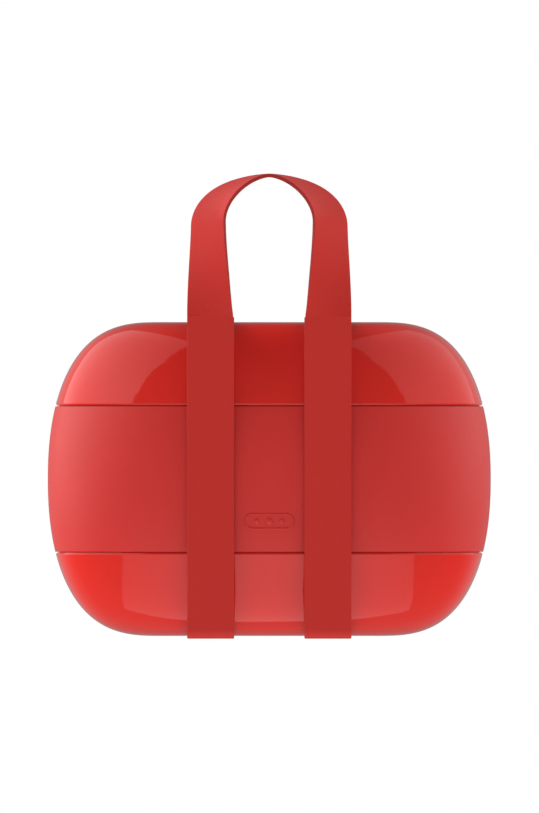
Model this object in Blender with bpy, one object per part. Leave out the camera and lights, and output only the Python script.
"""Three-tier lunch box with inner lids, held together by a two-strap silicone harness.

A glossy bowl at the bottom, a satin container in the middle and a glossy bowl upside
down on top share one barrel-shaped outline. Each tier has an inner lid with a seal
ring. Two straps run round the stack, and rise at the front and the back into two
twisted carrying loops. The frame: +Z up, X along the box, the front at -Y, the
origin under the middle of the straps that the box stands on. Lengths are in mm.
"""
import math

import bmesh
import bpy
from mathutils import Vector

MM = 0.001

# outline shared by the three tiers
LENGTH = 190.0
DEPTH = 120.0
BASE_Z = 1.2
TOP_Z = 135.8
MID_Z = (BASE_Z + TOP_Z) / 2
HALF_HEIGHT = (TOP_Z - BASE_Z) / 2
SHOULDER = 48.5             # how far the outline draws in from the waist to the flat top
BARREL_POWER = 2.23
CROWN_POWER = 2.87
PLAN_POWER = 2.9            # 2 would be an ellipse in plan
QUARTER_STEPS = 8
WALL_STEPS = 8

# where the tiers meet
JOINT_HEIGHT = 31.25        # above and below the waist
JOINT_GAP = 0.4
GAP = 0.3                   # clearance between touching pieces

# walls, rims and seals
WALL = 2.3
RIM_WALL = 1.35
LOWER_RECESS = 4.2
UPPER_RECESS = 5.4
SEAT_DEPTH = 4.45
SPIGOT_HEIGHT = 1.65
SPIGOT_WALL = 1.5
FLOOR = 2.2
MIDDLE_FOOT = 2.0
MIDDLE_INNER_TOP = 6.95
MIDDLE_INNER_FLOOR = 7.4
LID_PLATE = 1.6
SKIRT_DEPTH = 4.15
SKIRT_WALL = 1.25
GROOVE_DEPTH = 1.2
GROOVE_HEIGHT = 2.0
SEAL_SIZE = 1.3

# divider of the middle container
DIVIDER_X = 14.0
DIVIDER_THICKNESS = 1.8
DIVIDER_TOP_Z = 96.6

# harness
STRAP_WIDTH = 20.2
STRAP_X = 25.15
STRAP_THICKNESS = 1.6
STRAP_UNDER = 0.9           # thickness of the strands that lie under the box
STRAP_BEND = 3.6
STRAP_FACE = DEPTH / 2 + GAP
BEND_TOP_Z = 5.0
HINGE_Z = TOP_Z + 2.6

# carrying loops
LOOP_HALF_SPAN = 26.1
LOOP_BOW = 0.56
LOOP_BASE_Z = HINGE_Z + 1.5
LOOP_SPRING_Z = 176.35
LOOP_RISE = 22.35
LOOP_CROWN_POWER = 1.63
LOOP_WIDTH = 18.45
LOOP_BASE_FLARE = 1.4
LOOP_FLARE_FADE = 8.0
LOOP_LEG_TWIST = 40.4       # degrees reached where the legs meet the crown
LOOP_LEG_STEPS = 9
LOOP_CROWN_STEPS = 14

LOOP_Y = STRAP_FACE + STRAP_THICKNESS / 2

RED_GLOSS = (0.55, 0.020, 0.014, 1.0)
RED_SATIN = (0.50, 0.030, 0.028, 1.0)
RED_SILICONE = (0.44, 0.026, 0.022, 1.0)
LID_WHITE = (0.80, 0.79, 0.76, 1.0)
SEAL_WHITE = (0.70, 0.69, 0.67, 1.0)


def clear_scene():
    for obj in list(bpy.data.objects):
        bpy.data.objects.remove(obj, do_unlink=True)


def make_material(name, colour, roughness):
    material = bpy.data.materials.new(name)
    material.use_nodes = True
    shader = material.node_tree.nodes["Principled BSDF"]
    shader.inputs["Base Color"].default_value = colour
    shader.inputs["Roughness"].default_value = roughness
    shader.inputs["Metallic"].default_value = 0.0
    return material


# ---- outline -------------------------------------------------------------------

def outer_inset(z):
    """How far the outer wall stands in from the widest outline at height z."""
    rise = min(abs(z - MID_Z) / HALF_HEIGHT, 1.0)
    return SHOULDER * (1 - (1 - rise ** BARREL_POWER) ** (1 / CROWN_POWER))


def outline_point(angle):
    """(inset, depth below the waist) of the outer wall, at the waist for 0 and the base for 90 degrees."""
    inset = SHOULDER * (1 - math.cos(angle) ** (2 / CROWN_POWER))
    return Vector((inset, HALF_HEIGHT * math.sin(angle) ** (2 / BARREL_POWER)))


def outline_angle(depth):
    return math.asin((depth / HALF_HEIGHT) ** (BARREL_POWER / 2))


def wall_curve(first_depth, thickness, steps):
    """[(inset, z)] down the lower wall from first_depth below the waist to the flat base."""
    first = outline_angle(first_depth)
    last = math.pi / 2 - 1e-3
    points = []
    for step in range(steps + 1):
        angle = first + (last - first) * step / steps
        ahead = outline_point(min(angle + 1e-4, math.pi / 2))
        behind = outline_point(angle - 1e-4)
        along = (ahead - behind).normalized()
        inner = outline_point(angle) + thickness * Vector((along.y, -along.x))
        points.append((inner.x, MID_Z - inner.y))
    return points


def recess_inset(z):
    """The inner face of a bowl's rim, which the neighbour's spigot and the lid's edge fit."""
    return outer_inset(z) + RIM_WALL


def plan_ring(inset, z):
    """The superellipse that is the outline at one height, drawn in by inset."""
    ring = []
    for step in range(4 * QUARTER_STEPS):
        angle = math.pi / 2 * step / QUARTER_STEPS
        across, along = math.cos(angle), math.sin(angle)
        x = math.copysign(abs(across) ** (2 / PLAN_POWER), across) * (LENGTH / 2 - inset)
        y = math.copysign(abs(along) ** (2 / PLAN_POWER), along) * (DEPTH / 2 - inset)
        ring.append(Vector((x, y, z)))
    return ring


def mirrored(section):
    """The same section upside down about the waist."""
    return [(inset, 2 * MID_Z - z) for inset, z in section]


# ---- mesh helpers --------------------------------------------------------------

def loft(rings, closed=False):
    """A mesh through rings of equal length, its two ends capped unless it closes on itself."""
    count = len(rings[0])
    points = [point for ring in rings for point in ring]
    bands = range(len(rings) if closed else len(rings) - 1)
    faces = []
    for band in bands:
        low = band * count
        high = (band + 1) % len(rings) * count
        for side in range(count):
            after = (side + 1) % count
            faces.append((low + side, low + after, high + after, high + side))
    if not closed:
        faces.append(tuple(range(count)))
        faces.append(tuple(range(len(points) - count, len(points))))
    mesh = bpy.data.meshes.new("loft")
    mesh.from_pydata([point * MM for point in points], [], faces)
    shell = bmesh.new()
    shell.from_mesh(mesh)
    bmesh.ops.recalc_face_normals(shell, faces=shell.faces)
    shell.to_mesh(mesh)
    shell.free()
    return mesh


def swept(section, closed=False):
    return loft([plan_ring(inset, z) for inset, z in section], closed)


def add_mesh(name, mesh, empty, material):
    """Put a mesh made in world coordinates under the empty of its body."""
    pivot = empty["pivot"]
    for vertex in mesh.vertices:
        vertex.co -= Vector(pivot)
    mesh.name = name
    mesh.materials.append(material)
    obj = bpy.data.objects.new(name, mesh)
    obj.parent = empty
    bpy.context.scene.collection.children["lunch_box"].objects.link(obj)
    return obj


def add_extrusion(name, outline, middle_x, width, empty, material):
    """A flat (y, z) outline in mm, extruded along X about middle_x."""
    curve = bpy.data.curves.new(name, "CURVE")
    curve.dimensions = "2D"
    curve.fill_mode = "BOTH"
    curve.extrude = width / 2 * MM
    spline = curve.splines.new("POLY")
    spline.points.add(len(outline) - 1)
    pivot = Vector(empty["pivot"])
    for point, (y, z) in zip(spline.points, outline):
        point.co = (y * MM - pivot.y, z * MM - pivot.z, 0, 1)
    spline.use_cyclic_u = True
    curve.materials.append(material)
    obj = bpy.data.objects.new(name, curve)
    obj.parent = empty
    obj.location = (middle_x * MM - pivot.x, 0, 0)
    obj.rotation_euler = (math.pi / 2, 0, math.pi / 2)
    bpy.context.scene.collection.children["lunch_box"].objects.link(obj)
    return obj


def add_body(name, pivot, parent=None):
    """An empty on a body's joint axis. pivot is in mm in the world."""
    empty = bpy.data.objects.new(name + "_axis", None)
    place = Vector(pivot) * MM
    empty["pivot"] = tuple(place)
    empty.parent = parent
    empty.location = place - Vector(parent["pivot"]) if parent else place
    bpy.context.scene.collection.children["lunch_box"].objects.link(empty)
    return empty


# ---- tiers ---------------------------------------------------------------------

def bowl_section(recess):
    """A bowl's section, drawn for the bottom tier: outer wall, rim, lid ledge, inner wall."""
    rim_depth = JOINT_HEIGHT + JOINT_GAP / 2
    rim_z = MID_Z - rim_depth
    ledge_z = rim_z - recess
    seat = seat_inset(recess)
    seat_z = ledge_z - SEAT_DEPTH
    outer = wall_curve(rim_depth, 0, WALL_STEPS)[::-1]
    rim = [(recess_inset(rim_z), rim_z), (recess_inset(ledge_z), ledge_z)]
    seat_wall = [(seat, ledge_z), (seat, seat_z)]
    inner = wall_curve(MID_Z - seat_z, WALL, WALL_STEPS)[1:]
    return outer + rim + seat_wall + inner


def seat_inset(recess):
    """The inner wall that a lid's seal presses on, under the ledge of a bowl."""
    rim_z = MID_Z - JOINT_HEIGHT - JOINT_GAP / 2
    return outer_inset(rim_z - recess - SEAT_DEPTH) + WALL


def middle_section():
    """The middle container: foot ring, barrel wall, top spigot, straight inner wall, floor."""
    low = MID_Z - JOINT_HEIGHT + JOINT_GAP / 2
    high = MID_Z + JOINT_HEIGHT - JOINT_GAP / 2
    foot_z = low - MIDDLE_FOOT
    spigot_z = high + SPIGOT_HEIGHT
    underside = low + 0.6
    floor_z = underside + FLOOR
    foot_inner = recess_inset(foot_z) + GAP + SPIGOT_WALL
    section = [(foot_inner + 0.2, underside), (foot_inner, foot_z)]
    section += [(recess_inset(foot_z) + GAP, foot_z), (recess_inset(low) + GAP, low)]
    for step in range(WALL_STEPS + 1):
        z = low + (high - low) * step / WALL_STEPS
        section.append((outer_inset(z), z))
    section += [(recess_inset(high) + GAP, high), (recess_inset(spigot_z) + GAP, spigot_z)]
    section += [(MIDDLE_INNER_TOP, spigot_z), (MIDDLE_INNER_FLOOR, floor_z + 3.8)]
    section += [(MIDDLE_INNER_FLOOR + 1.2, floor_z + 1.2), (MIDDLE_INNER_FLOOR + 4.0, floor_z)]
    return section


def lid_section(flange_z, seat):
    """A lid with its skirt downwards: plate, flange edge, skirt with a seal groove."""
    top_z = flange_z + LID_PLATE
    skirt = seat + GAP + 0.4
    groove = skirt + GROOVE_DEPTH
    skirt_z = flange_z - SKIRT_DEPTH
    groove_top = flange_z - 1.05
    groove_low = groove_top - GROOVE_HEIGHT
    inner = groove + SKIRT_WALL
    return [
        (recess_inset(top_z) + GAP, top_z),
        (recess_inset(flange_z) + GAP, flange_z),
        (skirt, flange_z),
        (skirt, groove_top),
        (groove, groove_top),
        (groove, groove_low),
        (skirt, groove_low),
        (skirt, skirt_z),
        (inner, skirt_z),
        (inner, flange_z - 0.2),
    ]


def seal_section(flange_z, seat):
    """The seal ring in that lid's groove."""
    high = flange_z - 1.05 - GAP
    low = high - (GROOVE_HEIGHT - 2 * GAP)
    near = seat + GAP
    return [(near, low), (near, high), (near + SEAL_SIZE, high), (near + SEAL_SIZE, low)]


def divider_outline():
    """(y, z) of the divider, which follows the rounded foot of the container's walls."""
    floor_z = MID_Z - JOINT_HEIGHT + JOINT_GAP / 2 + 0.6 + FLOOR
    half = DEPTH / 2 - MIDDLE_INNER_FLOOR - GAP
    side = [
        (half - 4.3, floor_z + 0.4),
        (half - 1.7, floor_z + 1.6),
        (half - 0.6, floor_z + 4.1),
        (half - 0.3, DIVIDER_TOP_Z),
    ]
    return side + [(-y, z) for y, z in side[::-1]]


# ---- harness -------------------------------------------------------------------

def bend(centre_y, centre_z, radius, start, end, steps=5):
    """Points of an arc from start to end, in degrees from +Y towards +Z."""
    points = []
    for step in range(steps + 1):
        angle = math.radians(start + (end - start) * step / steps)
        points.append((centre_y + radius * math.cos(angle), centre_z + radius * math.sin(angle)))
    return points


def bottom_strand_outline():
    """(y, z) of the strand under the box, with the start of its two upright ends."""
    outer = STRAP_FACE + STRAP_THICKNESS
    inner_bend = STRAP_BEND - STRAP_THICKNESS
    side = [(outer, BEND_TOP_Z), (STRAP_FACE, BEND_TOP_Z)]
    side += bend(STRAP_FACE - inner_bend, STRAP_UNDER + inner_bend, inner_bend, 0, -90)
    under = bend(outer - STRAP_BEND, STRAP_BEND, STRAP_BEND, 0, -90)
    upper = side + [(-y, z) for y, z in side[::-1]]
    lower = [(-y, z) for y, z in under] + under[::-1]
    return upper + lower


def rectangle(low_y, high_y, low_z, high_z):
    return [(low_y, low_z), (high_y, low_z), (high_y, high_z), (low_y, high_z)]


def loop_centreline():
    """[(x, z, twist in degrees)] of a carrying loop, from its left foot over the crown to its right."""
    points = []
    for step in range(LOOP_LEG_STEPS):
        rise = step / LOOP_LEG_STEPS
        x = LOOP_HALF_SPAN - LOOP_BOW * (1 - rise) ** 2
        z = LOOP_BASE_Z + (LOOP_SPRING_Z - LOOP_BASE_Z) * rise
        points.append((x, z, LOOP_LEG_TWIST * (1 - (1 - rise) ** 1.47)))
    for step in range(LOOP_CROWN_STEPS + 1):
        angle = math.pi / 2 * step / LOOP_CROWN_STEPS
        x = LOOP_HALF_SPAN * abs(math.cos(angle)) ** (2 / LOOP_CROWN_POWER)
        z = LOOP_SPRING_Z + LOOP_RISE * math.sin(angle)
        turn = (1 - (1 - step / LOOP_CROWN_STEPS) ** 2) ** 1.75
        points.append((x, z, LOOP_LEG_TWIST + (90 - LOOP_LEG_TWIST) * turn))
    left = [(-x, z, twist) for x, z, twist in points]
    return left + points[-2::-1]


def loop_mesh(side_y):
    """One twisted band. side_y is -1 at the front, where its inner edge turns forwards, and 1 behind."""
    line = loop_centreline()
    rings = []
    for place, (x, z, twist) in enumerate(line):
        before = line[max(place - 1, 0)]
        after = line[min(place + 1, len(line) - 1)]
        along = Vector((after[0] - before[0], 0, after[1] - before[1])).normalized()
        inward = Vector((along.z, 0, -along.x))
        turn = math.radians(twist)
        outward_y = Vector((0, side_y, 0))
        across = inward * math.cos(turn) + outward_y * math.sin(turn)
        through = outward_y * math.cos(turn) - inward * math.sin(turn)
        width = LOOP_WIDTH + LOOP_BASE_FLARE * math.exp((LOOP_BASE_Z - z) / LOOP_FLARE_FADE)
        centre = Vector((x, side_y * LOOP_Y, z))
        ring = []
        for u, v in ((1, 1), (-1, 1), (-1, -1), (1, -1)):
            ring.append(centre + across * (u * width / 2) + through * (v * STRAP_THICKNESS / 2))
        rings.append(ring)
    return loft(rings)


# ---- assembly ------------------------------------------------------------------

def main():
    clear_scene()
    bpy.context.scene.collection.children.link(bpy.data.collections.new("lunch_box"))
    gloss = make_material("gloss_shell", RED_GLOSS, 0.12)
    satin = make_material("satin_shell", RED_SATIN, 0.45)
    silicone = make_material("silicone", RED_SILICONE, 0.55)
    lid_white = make_material("lid_white", LID_WHITE, 0.4)
    seal_white = make_material("seal_white", SEAL_WHITE, 0.6)

    # one empty for each moving body, in the order in which the stack comes apart
    lower_flange = MID_Z - JOINT_HEIGHT - JOINT_GAP / 2 - LOWER_RECESS + GAP
    middle_flange = MID_Z + JOINT_HEIGHT - JOINT_GAP / 2 + SPIGOT_HEIGHT + GAP
    upper_flange = 2 * MID_Z - (MID_Z - JOINT_HEIGHT - JOINT_GAP / 2 - UPPER_RECESS + GAP)
    root = add_body("bottom_bowl", (0, 0, 0))
    lower_lid = add_body("lower_lid", (0, 0, lower_flange), root)
    middle = add_body("middle_container", (0, 0, MID_Z - JOINT_HEIGHT), lower_lid)
    divider = add_body("divider", (DIVIDER_X, 0, MID_Z), middle)
    middle_lid = add_body("middle_lid", (0, 0, middle_flange), divider)
    top_lid = add_body("top_lid", (0, 0, upper_flange), middle_lid)
    top = add_body("top_bowl", (0, 0, MID_Z + JOINT_HEIGHT), top_lid)
    front = add_body("front_handle", (0, -LOOP_Y, HINGE_Z), top)
    back = add_body("back_handle", (0, LOOP_Y, HINGE_Z), top)

    lower_seat = seat_inset(LOWER_RECESS)
    upper_seat = seat_inset(UPPER_RECESS)
    upper_flange_below = 2 * MID_Z - upper_flange
    add_mesh("bottom_bowl", swept(bowl_section(LOWER_RECESS)), root, gloss)
    add_mesh("top_bowl", swept(mirrored(bowl_section(UPPER_RECESS))), top, gloss)
    add_mesh("middle_container", swept(middle_section()), middle, satin)
    add_mesh("lower_lid", swept(lid_section(lower_flange, lower_seat)), lower_lid, lid_white)
    add_mesh("middle_lid", swept(lid_section(middle_flange, MIDDLE_INNER_TOP)), middle_lid, lid_white)
    add_mesh("top_lid", swept(mirrored(lid_section(upper_flange_below, upper_seat))), top_lid, lid_white)
    seals = (
        ("lower_gasket", seal_section(lower_flange, lower_seat), lower_lid),
        ("middle_gasket", seal_section(middle_flange, MIDDLE_INNER_TOP), middle_lid),
        ("top_gasket", mirrored(seal_section(upper_flange_below, upper_seat)), top_lid),
    )
    for name, section, empty in seals:
        add_mesh(name, swept(section, closed=True), empty, seal_white)
    add_extrusion("divider", divider_outline(), DIVIDER_X, DIVIDER_THICKNESS, divider, lid_white)

    outer = STRAP_FACE + STRAP_THICKNESS
    for side_name, middle_x in (("left", -STRAP_X), ("right", STRAP_X)):
        shapes = (
            ("belt_bottom_", bottom_strand_outline(), root),
            ("front_strap_", rectangle(-outer, -STRAP_FACE, BEND_TOP_Z + GAP, TOP_Z), root),
            ("back_strap_", rectangle(STRAP_FACE, outer, BEND_TOP_Z + GAP, TOP_Z), root),
            ("belt_top_", rectangle(-outer, outer, TOP_Z + GAP, TOP_Z + 2.1), top),
        )
        for prefix, outline, empty in shapes:
            add_extrusion(prefix + side_name, outline, middle_x, STRAP_WIDTH, empty, silicone)
    add_mesh("front_handle", loop_mesh(-1), front, silicone)
    add_mesh("back_handle", loop_mesh(1), back, silicone)


main()
